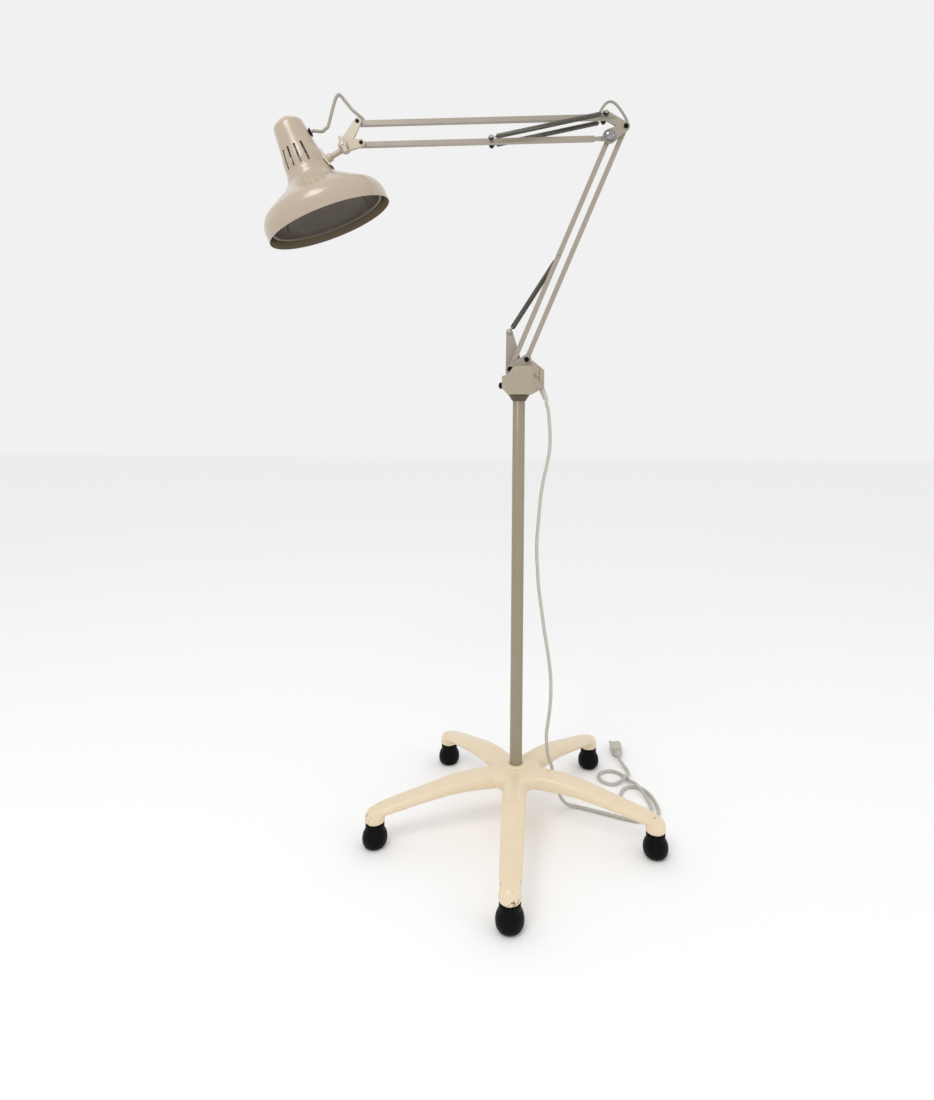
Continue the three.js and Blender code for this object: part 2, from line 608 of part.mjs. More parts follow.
// ---------------------------------------------------------------- shade, about its own axis
const neckTop = clamp.clone().add(at(-120.595, 57.313));
const tilt = rad(SHADE_TILT);
const shadeAxis = at(Math.sin(tilt), -Math.cos(tilt));
const shadeSide = at(Math.cos(tilt), Math.sin(tilt));
const SHADE = [
  [0, 0], [17, 6], [29, 16], [35.4, 59], [41.5, 94], [43.3, 114], [49.1, 130], [69.7, 148],
  [98.8, 166], [118.6, 180], [127.5, 198], [128.7, SHADE_LENGTH],
];
const shadeRadius = (down) => {
  const next = SHADE.findIndex(([, depth]) => depth >= down);
  const [[r0, d0], [r1, d1]] = [SHADE[next - 1], SHADE[next]];
  return r0 + ((r1 - r0) * (down - d0)) / (d1 - d0);
};
const MOUNT_DOWN = 107;
const mount = neckTop.clone()
  .addScaledVector(shadeAxis, MOUNT_DOWN)
  .addScaledVector(shadeSide, shadeRadius(MOUNT_DOWN));
const stemWay = lift(mount.clone().sub(clamp).normalize(), 0);
const pivot = lift(clamp, 0);

// Local head frame: +Z down the shade axis from the neck top, +X towards the stem.
const headFrame = new THREE.Matrix4().makeBasis(
  lift(shadeSide, 0), new THREE.Vector3(0, -1, 0), lift(shadeAxis, 0));
headFrame.setPosition(lift(neckTop, 0));
const toHead = new THREE.Matrix4()
  .makeTranslation(pivot.x, pivot.y, pivot.z)
  .multiply(new THREE.Matrix4().makeRotationAxis(stemWay, rad(HEAD_ROLL)))
  .multiply(new THREE.Matrix4().makeTranslation(-pivot.x, -pivot.y, -pivot.z))
  .multiply(headFrame);
const placeHead = (body) => body.transform(toHead.elements);
const inHead = (x, y, z) => new THREE.Vector3(x, y, z).applyMatrix4(toHead);
const headRod = (x0, x1, down, radius, sides) => rod(
  new THREE.Vector3(x0, 0, down), new THREE.Vector3(x1, 0, down), radius, sides);

// The wall thickness is taken off along the slope of the outline.
const thinner = (profile, wall) => profile.map((point, i) => {
  const before = profile[Math.max(0, i - 1)];
  const after = profile[Math.min(profile.length - 1, i + 1)];
  const slope = Math.atan2(after[1] - before[1], after[0] - before[0]);
  return [Math.max(0, point[0] - Math.sin(slope) * wall), point[1] + Math.cos(slope) * wall];
});
const shadeInside = thinner(SHADE, SHADE_WALL).slice(1, -1).reverse();
const shell = turnedZ([
  ...SHADE, [128.7 - SHADE_WALL, SHADE_LENGTH], ...shadeInside, [0, SHADE_WALL],
], 0, 0, 40);
const vents = [];
for (const start of [67.5, -135]) {
  for (let i = 0; i < 4; i++) {
    const bar = solid(new THREE.BoxGeometry(30, 3.8, 41).translate(40, 0, 86.5));
    vents.push(bar.rotate([0, 0, start + i * 22.5]));
  }
}
const GROMMET_DOWN = 46;
const wireOut = headRod(20, 50, GROMMET_DOWN, 6.3, 20);
add("shade", placeHead(cut(shell, wireOut, ...vents)), "cream", 0.35);

// Saddle foot: follows the neck outside, with a boss that takes the stem.
const neckLine = (from, to, out, count = 4) => Array.from({ length: count + 1 }, (_, i) => {
  const down = from + ((to - from) * i) / count;
  return [shadeRadius(down) + out, down];
});
const neckPart = neckLine(84, 130, 3.4);
const neckRing = turnedZ([...neckPart, ...neckLine(84, 130, GAP).reverse(), neckPart[0]], 0, 0, 40);
const saddle = neckRing.intersect(
  solid(new THREE.BoxGeometry(30, 24, 42).translate(45, 0, MOUNT_DOWN)));
const neckFull = turnedZ([[0, 80], ...neckLine(80, 140, GAP), [0, 140]], 0, 0, 40);
const BOSS = 14;
const outwards = stemWay.clone().negate();
const boss = turned([[0, -6], [11, -6], [10.5, 3], [8.4, 6], [8.2, BOSS], [0, BOSS]],
  lift(mount, 0), outwards, 28);
const onStem = (travel) => lift(mount, 0).addScaledVector(outwards, travel);
add("shade_foot", cut(
  join(placeHead(saddle), boss),
  placeHead(neckFull),
  rod(onStem(4), onStem(30), 4.3),
), "cream", 0.42);

const STEM_RADIUS = 5.6;
const clampTravel = mount.clone().sub(clamp).length();
add("head_stem", cut(
  join(
    pinY(clamp, 11, -5.5, 4.5, 28),
    rod(onStem(BOSS + GAP), onStem(clampTravel - 6), STEM_RADIUS, 20).intersect(
      solid(new THREE.BoxGeometry(200, 9.6, 200).translate(clamp.x, -0.5, clamp.y))),
    rod(onStem(5), onStem(BOSS + 2), 4, 16),
  ),
  pinY(clamp, CLAMP + GAP, -20, 20),
), "cream", 0.42);

const REFLECTOR = [
  [31, 121], [42, 131], [58, 145], [84, 164], [103, 181], [111, 196], [114, 210], [117, 211.4],
];
const reflectorBack = thinner(REFLECTOR, 1.2).reverse();
add("reflector", placeHead(turnedZ([...REFLECTOR, ...reflectorBack, REFLECTOR[0]], 0, 0, 30)),
  "liner", 0.3);
add("lamp_socket", placeHead(turnedZ([
  [0, 22], [28.4, 22.6], [28.4, 26], [21, 27], [20, 78], [13.9, 78], [13.9, 44], [0, 44],
], 0, 0, 24)), "porcelain", 0.35);
add("bulb", placeHead(turnedZ([
  [0, 45], [13.4, 45], [13.4, 79], [15, 84], [21, 105], [27.5, 127], [29.5, 143], [27.5, 160],
  [20, 175], [9, 183], [0, 184.5],
], 0, 0, 24)), "glass", 0.15);
const CABLE_RADIUS = 3.2;
const bore = CABLE_RADIUS + GAP;
add("neck_grommet", placeHead(turned([
  [bore, 27], [7.6, 27], [7.6, 29.5], [6, 29.5], [6, 35.3], [9, 35.3], [8.4, 37.8], [bore, 37.8],
  [bore, 27],
], new THREE.Vector3(0, 0, GROMMET_DOWN), new THREE.Vector3(1, 0, 0), 24)), "black", 0.6);

const cableOut = [24, 30, 36, 41].map((out) => inHead(out, 0, GROMMET_DOWN));
const headLoop = [
  ...cableOut, ...inPlane([[-418.7, 1398.2], [-403, 1397], [-396.4, 1402]], -6),
  ...inPlane([[-391.6, 1409], [-385, 1434.7], [-379.6, 1455.8], [-375.8, 1467], [-368.8, 1473.2]], -3),
  ...inPlane([[-357, 1460.5], [-342, 1443]]),
  lift(at(topWireIn.x - 0.5, topWireIn.y + 9), 0),
  lift(at(topWireIn.x, topWireIn.y + 1), 0),
];
add("head_cable", cable(headLoop, CABLE_RADIUS, 8, 34), "cable", 0.5);

// ---------------------------------------------------------------- mains cord and plug
const hanging = [
  [55.6, 857], [56.4, 849], [59.6, 838], [62, 818], [64.2, 787], [63.4, 757], [58.2, 726],
  [51.5, 695.6], [46.7, 665], [43.7, 634], [41.3, 604], [39.1, 573], [39.2, 542.6], [40.9, 512],
  [43, 481.5], [46.9, 451], [51.4, 420.5], [55.6, 390], [60.9, 359], [65.5, 329], [69.2, 298],
  [70.3, 268], [69.1, 237], [65.7, 206.6], [62, 178], [63, 155],
];
const CORD_LIES = MAINS_RADIUS + 0.1;
const CORD_CROSSES = CORD_LIES + MAINS_RADIUS * 2 + 0.5;
const between = (CORD_LIES + CORD_CROSSES) / 2;
const lying = [
  [66, 12, 130], [73, 18, 109], [82, 28, 70], [93, 39, 34], [108, 48, 11], [132, 50, CORD_LIES],
  [180, 30, CORD_LIES], [228, 9, CORD_LIES], [256, 2, CORD_LIES], [282, 8, CORD_LIES],
  [298, 30, CORD_LIES], [300, 62, CORD_LIES], [294, 96, CORD_LIES], [281, 120, CORD_LIES],
  [262, 128, CORD_LIES], [243, 120, CORD_LIES], [231, 98, CORD_LIES], [227, 70, CORD_LIES],
  [232, 44, CORD_LIES], [244, 25, CORD_LIES], [262, 18, CORD_LIES], [279, 27, CORD_LIES],
  [286, 46, CORD_LIES], [286, 72, CORD_LIES], [280, 98, between], [269, 126, CORD_CROSSES],
  [262, 142, between], [256, 158, CORD_LIES], [248, 174, CORD_LIES], [236, 188, CORD_LIES],
  [218, 193, CORD_LIES], [200, 184, CORD_LIES], [192, 165, CORD_LIES], [200, 146, CORD_LIES],
  [219, 137, CORD_LIES], [238, 143, between], [254, 159, CORD_CROSSES], [261, 178, between],
  [262, 198, CORD_LIES], [256, 218, 6], [251, 231, 9.6], [250, 239.8, 11],
];
const hangingDepth = [0, 0, 2, 4];
const mainsRoute = [
  ...hanging.map(([x, z], i) => new THREE.Vector3(x, hangingDepth[i] ?? 5, z)),
  ...lying.map(([x, y, z]) => new THREE.Vector3(x, y, z)),
];
add("mains_cord", cable(mainsRoute, MAINS_RADIUS, 8, 80), "mains", 0.55);

const PLUG_X = 250;
const PLUG_Z = 11;
const plugPlan = [
  at(-6, 262), at(-12.5, 270), at(-13.5, 296), at(-11, 300), at(11, 300), at(13.5, 296),
  at(12.5, 270), at(6, 262),
];
const plugShape = new THREE.Shape(plugPlan);
const plugBlock = solid(new THREE.ExtrudeGeometry(plugShape, {
  depth: 16, bevelEnabled: true, bevelThickness: 2.6, bevelSize: 2, bevelOffset: -2, bevelSegments: 2,
}).translate(PLUG_X, 0, PLUG_Z - 8));
const plugPoint = (x, y) => new THREE.Vector3(PLUG_X + x, y, PLUG_Z);
const plugNeck = rod(plugPoint(0, 240.5), plugPoint(0, 266), 4.6, 16, 6.6);
const block = (x0, x1, y0, y1, tall) => solid(
  new THREE.BoxGeometry(x1 - x0, y1 - y0, tall).translate(PLUG_X + (x0 + x1) / 2, (y0 + y1) / 2, PLUG_Z));
const PIN_SPACING = 9.5;
const prong = (side, radius, from, to) => rod(
  plugPoint(side * PIN_SPACING, from), plugPoint(side * PIN_SPACING, to), radius, 16);
add("plug", cut(
  join(plugBlock, plugNeck),
  block(-13, 13, 283, 290, 8).intersect(block(-11.5, 11.5, 283, 290, 8)),
  prong(-1, 2.7, 284, 310),
  prong(1, 2.7, 284, 310),
), "mains", 0.5);
add("plug_pins", join(
  block(-11, 11, 283.5, 289.5, 7),
  prong(-1, 2.4, 284, 318),
  prong(1, 2.4, 284, 318),
), "steel", 0.3, 1);

// ---------------------------------------------------------------- origin
// The origin sits on the floor, under the middle of everything but the mains cord and its plug.
const box = new THREE.Box3();
for (const mesh of lamp.children) {
  if (!/^(mains|plug)/.test(mesh.name)) box.expandByObject(mesh, true);
}
const middle = box.getCenter(new THREE.Vector3());
for (const mesh of lamp.children) {
  mesh.geometry.translate(-middle.x, -middle.y, -box.min.z);
}

export default lamp;
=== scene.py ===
# %% [markdown]
# # A spring-balanced floor lamp
# The lamp stands on a five-leg base. A fixed pole carries a swivelling bracket, and two
# parallelogram arms carry a bell shade. The measured model comes first, as a fixed frame: every
# visible piece below is made in metres, in that frame. Most ride on one of its bodies; the mains
# lead, the spring coils and the cables stay fixed in the frame.

# %% Load the frame
import json
import math

import bmesh
import bpy
from mathutils import Matrix, Vector


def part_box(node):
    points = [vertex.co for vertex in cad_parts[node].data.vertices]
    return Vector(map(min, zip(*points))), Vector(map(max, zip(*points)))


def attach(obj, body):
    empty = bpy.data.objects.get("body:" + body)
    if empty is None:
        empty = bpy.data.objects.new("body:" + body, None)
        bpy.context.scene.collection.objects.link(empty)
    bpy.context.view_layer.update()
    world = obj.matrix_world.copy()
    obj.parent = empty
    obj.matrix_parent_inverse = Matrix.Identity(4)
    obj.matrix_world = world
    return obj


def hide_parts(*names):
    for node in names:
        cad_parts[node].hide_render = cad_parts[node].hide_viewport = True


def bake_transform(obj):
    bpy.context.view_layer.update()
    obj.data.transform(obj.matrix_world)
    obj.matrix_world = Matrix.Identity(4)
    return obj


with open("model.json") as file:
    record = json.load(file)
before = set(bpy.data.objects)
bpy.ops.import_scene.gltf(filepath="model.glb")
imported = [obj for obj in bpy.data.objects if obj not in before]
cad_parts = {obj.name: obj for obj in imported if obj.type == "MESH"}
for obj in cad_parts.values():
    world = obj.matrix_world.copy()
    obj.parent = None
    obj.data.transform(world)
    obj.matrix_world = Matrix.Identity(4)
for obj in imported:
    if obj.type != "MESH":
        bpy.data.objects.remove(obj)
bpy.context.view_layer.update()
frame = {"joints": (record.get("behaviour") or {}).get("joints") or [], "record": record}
record = frame["record"]
BODY_OF = {node: body for body, nodes in record["behaviour"]["bodies"].items() for node in nodes}
JOINTS = {joint["name"]: joint for joint in frame["joints"]}
POLE = Vector(JOINTS["arm_swivel"]["pos_m"])
POLE.z = 0
MM = 0.001


def spot(x, y, z):
    """A point in millimetres from the pole's axis at the floor, as metres in the frame."""
    return POLE + Vector((x, y, z)) * MM


# %% [markdown]
# ## Camera
# A view from in front at about half the lamp's height. The camera stays level, because a level
# camera keeps the pole upright, and a small shift moves the lamp in the picture instead.

# %% Camera
CAMERA_FROM_POLE = (-21.4, -1347.7, 822.3)
CAMERA_ROLL = math.radians(-0.49)
camera_data = bpy.data.cameras.new("camera")
camera_data.sensor_width = 36
camera_data.lens = 21.72
camera_data.shift_x = -0.0375
camera_data.shift_y = -0.1205
camera = bpy.data.objects.new("camera", camera_data)
camera.matrix_world = (
    Matrix.Translation(spot(*CAMERA_FROM_POLE))
    @ Matrix.Rotation(CAMERA_ROLL, 4, "Y")
    @ Matrix.Rotation(math.radians(90), 4, "X")
)
bpy.context.scene.collection.objects.link(camera)
bpy.context.scene.camera = camera

# %% [markdown]
# ## Light and floor
# A white room: one large soft light high on the left, a weaker one on the right, and an even
# white sky. The floor is nearly white and takes only a faint shadow.

# %% Light and floor
SKY = 0.88


def area_light(name, place, target, size, power):
    data = bpy.data.lights.new(name, "AREA")
    data.shape = "SQUARE"
    data.size = size
    data.energy = power
    lamp = bpy.data.objects.new(name, data)
    lamp.location = place
    lamp.rotation_euler = (Vector(target) - Vector(place)).to_track_quat("-Z", "Y").to_euler()
    bpy.context.scene.collection.objects.link(lamp)
    return lamp


world = bpy.data.worlds.new("white_room")
world.use_nodes = True
world.node_tree.nodes["Background"].inputs["Color"].default_value = (1, 1, 1, 1)
world.node_tree.nodes["Background"].inputs["Strength"].default_value = SKY
bpy.context.scene.world = world
area_light("key", (-0.9, -1.7, 2.7), (-0.2, 0, 1.1), 1.0, 20)
area_light("side", (2.4, -1.0, 1.6), (0, 0, 0.8), 1.0, 4)
area_light("low", (0.3, -2.2, 0.7), (0, 0, 0.3), 1.2, 1.5)
bpy.context.scene.view_settings.view_transform = "Standard"

floor_mesh = bpy.data.meshes.new("floor")
shape = bmesh.new()
bmesh.ops.create_grid(shape, x_segments=1, y_segments=1, size=12)
shape.to_mesh(floor_mesh)
shape.free()
floor = bpy.data.objects.new("floor", floor_mesh)
bpy.context.scene.collection.objects.link(floor)

# %% [markdown]
# ## Shader maths
# A socket wrapped in a small class takes Python's own operators, so a mask reads as a formula.
# Each operator adds one Math node. Every other node comes from `Finish.add`.


# %% Shader maths
class Value:
    """One node's output, with arithmetic."""

    def __init__(self, finish, socket):
        self.finish = finish
        self.socket = socket

    def maths(self, operation, *values):
        inputs = dict(enumerate(values))
        return self.finish.add("ShaderNodeMath", {"operation": operation}, inputs)

    def __add__(self, other):
        return self.maths("ADD", self, other)

    __radd__ = __add__

    def __mul__(self, other):
        return self.maths("MULTIPLY", self, other)

    __rmul__ = __mul__

    def __sub__(self, other):
        return self.maths("SUBTRACT", self, other)

    def __rsub__(self, other):
        return self.maths("SUBTRACT", other, self)

    def limited(self, low, high):
        """0 below low and 1 above high, smooth between."""
        node = {"interpolation_type": "SMOOTHSTEP", "clamp": True}
        return self.finish.add("ShaderNodeMapRange", node, {0: self, 1: low, 2: high})


class Finish:
    """One material: a Principled shader and the nodes that feed it."""

    def __init__(self, name, **sockets):
        self.material = bpy.data.materials.new(name)
        self.material.use_nodes = True
        self.tree = self.material.node_tree
        self.shader = self.tree.nodes["Principled BSDF"]
        for socket, value in sockets.items():
            self.set(socket.replace("_", " "), value)

    def plug(self, socket, value):
        if isinstance(value, Value):
            self.tree.links.new(value.socket, socket)
        else:
            socket.default_value = value

    def set(self, socket, value):
        self.plug(self.shader.inputs[socket], value)
        return self

    def add(self, kind, settings=None, inputs=None, output=0):
        node = self.tree.nodes.new(kind)
        for key, value in (settings or {}).items():
            setattr(node, key, value)
        for key, value in (inputs or {}).items():
            self.plug(node.inputs[key], value)
        return Value(self, node.outputs[output])

    def place(self, stretch=(1, 1, 1), centre=(0, 0, 0)):
        """Object coordinates in metres, stretched, and measured from a centre."""
        raw = self.add("ShaderNodeTexCoord", output="Object")
        moved = self.add(
            "ShaderNodeVectorMath", {"operation": "SUBTRACT"}, {0: raw, 1: tuple(centre)}
        )
        return self.add("ShaderNodeMapping", None, {"Vector": moved, "Scale": stretch})

    def noise(self, scale, detail=2.0, rough=0.5, where=None):
        inputs = {"Scale": scale, "Detail": detail, "Roughness": rough}
        inputs["Vector"] = where or self.place()
        return self.add("ShaderNodeTexNoise", None, inputs)

    def blend(self, first, second, amount):
        pick = {"data_type": "RGBA"}
        return self.add("ShaderNodeMix", pick, {0: amount, 6: first, 7: second}, output=2)

    def bumps(self, height, distance, strength=1.0, before=None):
        inputs = {"Height": height, "Distance": distance, "Strength": strength}
        if before is not None:
            inputs["Normal"] = before
        return self.add("ShaderNodeBump", None, inputs)


def rgb(red, green, blue):
    """A screen colour of 0 to 255, as the linear colour that shaders use."""
    linear = [((v / 255 + 0.055) / 1.055) ** 2.4 for v in (red, green, blue)]
    return (*linear, 1)


floor_finish = Finish("floor_white", Roughness=0.9)
floor_finish.set("Base Color", (0.96, 0.96, 0.96, 1))
floor_mesh.materials.append(floor_finish.material)

# %% [markdown]
# ## Painted metal
# Old stoved enamel: a warm cream, slightly uneven, with a fine orange-peel skin, fine scratches
# along each piece, small dark specks, and chips to a brown primer where the piece gets knocked.
# One function makes each paint, because the coats differ only in colour, gloss and wear.

# %% Painted metal
CHIP = rgb(92, 66, 44)


def paint(name, colour, roughness=0.34, wear=0.3, chips=None, along=(1, 1, 1), coat=0.25):
    """A coat of enamel. chips gives (centre, from, to): knocks start that far from a centre."""
    finish = Finish(name, Specular_IOR_Level=0.5)
    red, green, blue, _ = colour
    darker = (red * 0.84, green * 0.80, blue * 0.74, 1)
    lighter = (min(1, red * 1.06), min(1, green * 1.06), min(1, blue * 1.08), 1)
    clouds = finish.noise(7, 4, 0.6).limited(0.35, 0.7)
    grime = finish.noise(38, 6, 0.65).limited(0.52, 0.74)
    coated = finish.blend(colour, lighter, clouds * 0.5)
    coated = finish.blend(coated, darker, grime * wear * 0.55)
    streaks = finish.noise(190, 3, 0.6, finish.place(along)).limited(0.63, 0.72)
    coated = finish.blend(coated, darker, streaks * wear * 0.7)
    specks = finish.noise(420, 2, 0.5).limited(0.74, 0.79)
    mask = specks * wear
    if chips:
        centre, start, end = chips
        where = finish.place((1, 1, 1), centre)
        distance = finish.add("ShaderNodeVectorMath", {"operation": "LENGTH"}, {0: where}, output=1)
        reach = distance.limited(start, end)
        knocks = finish.noise(70, 5, 0.7)
        mask = mask + (knocks + reach * 0.16).limited(0.73, 0.755) * reach
    coated = finish.blend(coated, CHIP, mask.limited(0.0, 1.0))
    finish.set("Base Color", coated)
    finish.set("Roughness", grime * 0.14 + streaks * 0.1 + mask * 0.25 + roughness)
    finish.shader.inputs["Coat Weight"].default_value = coat
    finish.shader.inputs["Coat Roughness"].default_value = 0.16
    peel = finish.noise(520, 2, 0.5)
    skin = finish.bumps(peel, 0.00006, 0.6)
    finish.set("Normal", finish.bumps(streaks + mask * 2, 0.00008, 0.5, skin))
    return finish.material


FOOT_CHIPS = (POLE + Vector((0, 0, 0.06)), 0.235, 0.3)
finishes = {
    "base": paint("base_enamel", rgb(226, 207, 177), 0.33, 0.45, FOOT_CHIPS),
    "cream": paint("head_enamel", rgb(184, 171, 151), 0.3, 0.3),
    "shade": paint("shade_enamel", rgb(176, 161, 141), 0.24, 0.22, coat=0.45),
    "arm": paint("arm_enamel", rgb(153, 143, 129), 0.36, 0.35, along=(0.06, 1, 1)),
    "upright": paint("pole_enamel", rgb(143, 132, 109), 0.34, 0.35, along=(1, 1, 0.05)),
}
print("paints", sorted(finishes))

# %% [markdown]
# ## Plastics, rubber, bright metal and glass
# The moulded housing and the black glides are textured plastic: a fine leathery bump and a
# roughness that varies. Metal parts differ in how far they are polished.


# %% Plastic and rubber
def moulded(
    name, colour, roughness, grain=900, depth=0.00004, scuff=0.12, dust=None, specular=0.45,
):
    finish = Finish(name, Specular_IOR_Level=specular)
    red, green, blue, _ = colour
    pale = dust or (red * 1.25 + 0.01, green * 1.22 + 0.01, blue * 1.18 + 0.01, 1)
    wear = finish.noise(45, 5, 0.6).limited(0.45, 0.75)
    rubbed = finish.noise(240, 3, 0.6).limited(0.6, 0.75)
    finish.set("Base Color", finish.blend(colour, pale, wear * 0.45 + rubbed * scuff))
    finish.set("Roughness", wear * 0.15 + rubbed * 0.1 + roughness)
    finish.set("Normal", finish.bumps(finish.noise(grain, 3, 0.55), depth, 0.7))
    return finish.material


def metal(name, colour, roughness, stretch=(1, 1, 1), scale=260, tarnish=0.3):
    """Metal with drawn lines or a light tarnish."""
    finish = Finish(name, Metallic=1.0)
    red, green, blue, _ = colour
    dull = (red * 0.55, green * 0.52, blue * 0.48, 1)
    lines = finish.noise(scale, 3, 0.6, finish.place(stretch))
    stain = finish.noise(60, 4, 0.6).limited(0.5, 0.72)
    finish.set("Base Color", finish.blend(colour, dull, stain * tarnish))
    finish.set("Roughness", lines * 0.12 + stain * 0.12 + roughness)
    finish.set("Normal", finish.bumps(lines, 0.00003, 0.4))
    return finish.material


finishes["housing"] = moulded("housing_plastic", rgb(161, 149, 131), 0.38, scuff=0.2)
finishes["black"] = moulded(
    "black_plastic", rgb(4, 4, 4), 0.42, scuff=0.02, dust=rgb(10, 9, 9), specular=0.1,
)
finishes["cable"] = moulded("cable_sheath", rgb(158, 149, 138), 0.5, 1400, 0.00003)
finishes["mains"] = moulded("mains_sheath", rgb(186, 181, 172), 0.5, 1400, 0.00003)
finishes["steel"] = metal("zinc_steel", rgb(168, 165, 158), 0.34)
finishes["spring"] = metal("spring_wire", rgb(112, 108, 101), 0.3, scale=700, tarnish=0.5)
finishes["chrome"] = metal("polished_chrome", rgb(150, 151, 154), 0.1, tarnish=0.1)
# The liner's dark grey-brown is painted shade for the shadowed inside of the bell.
finishes["liner"] = moulded("shaded_satin_liner", rgb(86, 78, 67), 0.32, 700, 0.00002, 0.05)
# Two thin dark lines on the liner: painted shade where its slots show the space behind.
finishes["gap"] = moulded("painted_slot_shade", rgb(52, 44, 34), 0.6)
# Dark brown for the inside of the bell: painted shade for its shadowed inner wall.
finishes["inside"] = moulded("shaded_inside", rgb(104, 90, 68), 0.45)
# The bush's dark brown is painted shade from under the housing.
finishes["bush"] = moulded("shaded_bush", rgb(84, 72, 56), 0.45)
finishes["porcelain"] = moulded("glazed_porcelain", rgb(232, 226, 212), 0.15, 300, 0.00002)

# %% Frosted glass
frosted = Finish("frosted_bulb", IOR=1.45)
frosted.set("Base Color", rgb(240, 237, 228))
frosted.set("Roughness", frosted.noise(120, 3).limited(0.3, 0.7) * 0.1 + 0.35)
frosted.set("Normal", frosted.bumps(frosted.noise(900, 2), 0.00002, 0.5))
frosted.shader.inputs["Transmission Weight"].default_value = 0.35
finishes["bulb"] = frosted.material
print("finishes", len(finishes))

# %% [markdown]
# ## Helpers for pieces
# `finished` turns a bmesh into a piece that rides on the right body, takes a finish and stands
# for its node of the frame. `turned` spins a profile about a line. `swept_mesh` runs a round
# section along a smooth line with a curve, then keeps its mesh.


# %% Piece helpers
def finished(name, mesh, finish, nodes, body=None, smooth=40):
    for polygon in mesh.polygons:
        polygon.use_smooth = True
    mesh.materials.clear()
    mesh.materials.append(finishes[finish])
    piece = bpy.data.objects.new(name, mesh)
    bpy.context.scene.collection.objects.link(piece)
    if smooth:
        mesh.set_sharp_from_angle(angle=math.radians(smooth))
    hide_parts(*nodes)
    if body != "none":
        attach(piece, body or BODY_OF[nodes[0]])
    return piece


def made_mesh(name, shape):
    mesh = bpy.data.meshes.new(name)
    shape.to_mesh(mesh)
    shape.free()
    return mesh


def frame_along(origin, direction):
    """A matrix whose +Z runs along a direction from an origin."""
    return Matrix.Translation(origin) @ direction.to_track_quat("Z", "Y").to_matrix().to_4x4()


def smooth_line(points, steps=8):
    """A Catmull-Rom line through points, evenly divided in each stretch."""
    line = []
    last = len(points) - 1
    for i in range(last):
        before = points[i - 1] if i else points[0] * 2 - points[1]
        after = points[i + 2] if i + 2 <= last else points[last] * 2 - points[last - 1]
        start, end = points[i], points[i + 1]
        for k in range(steps):
            t = k / steps
            bend = (end - before) * 0.5
            leave = (after - start) * 0.5
            line.append(
                start * (2 * t**3 - 3 * t**2 + 1)
                + bend * (t**3 - 2 * t**2 + t)
                + end * (3 * t**2 - 2 * t**3)
                + leave * (t**3 - t**2)
            )
    return [*line, points[last]]


def turned_shape(profile, place, steps=96, closed=False):
    """Spins (radius, height) pairs in millimetres about +Z of a placing matrix."""
    shape = bmesh.new()
    ring = [shape.verts.new((radius * MM, 0, height * MM)) for radius, height in profile]
    edges = [shape.edges.new(pair) for pair in zip(ring, ring[1:])]
    if closed:
        edges.append(shape.edges.new((ring[-1], ring[0])))
    bmesh.ops.spin(
        shape, geom=ring + edges, cent=(0, 0, 0), axis=(0, 0, 1),
        angle=math.tau, steps=steps, use_merge=True,
    )
    bmesh.ops.remove_doubles(shape, verts=shape.verts, dist=1e-6)
    bmesh.ops.recalc_face_normals(shape, faces=shape.faces)
    bmesh.ops.transform(shape, matrix=place, verts=shape.verts)
    return shape


def turned(name, profile, place, finish, nodes, steps=96, closed=False, **more):
    shape = turned_shape(profile, place, steps, closed)
    return finished(name, made_mesh(name, shape), finish, nodes, **more)


def kept_mesh(holder):
    """The mesh of an object with its curve or modifiers applied. The object itself goes."""
    view = bpy.context.evaluated_depsgraph_get()
    mesh = bpy.data.meshes.new_from_object(holder.evaluated_get(view))
    bpy.data.objects.remove(holder)
    return mesh


def swept_mesh(name, points, radius, resolution=5):
    data = bpy.data.curves.new(name, "CURVE")
    data.dimensions = "3D"
    data.bevel_depth = radius
    data.bevel_resolution = resolution
    data.use_fill_caps = True
    spline = data.splines.new("POLY")
    spline.points.add(len(points) - 1)
    for target, point in zip(spline.points, points):
        target.co = (*point, 1)
    holder = bpy.data.objects.new(name + "_line", data)
    bpy.context.scene.collection.objects.link(holder)
    bpy.context.view_layer.update()
    mesh = kept_mesh(holder)
    shape = bmesh.new()
    shape.from_mesh(mesh)
    bmesh.ops.remove_doubles(shape, verts=shape.verts, dist=1e-6)
    bmesh.ops.recalc_face_normals(shape, faces=shape.faces)
    shape.to_mesh(mesh)
    shape.free()
    mesh.name = name
    return mesh


def length_of(points):
    return sum((b - a).length for a, b in zip(points, points[1:]))
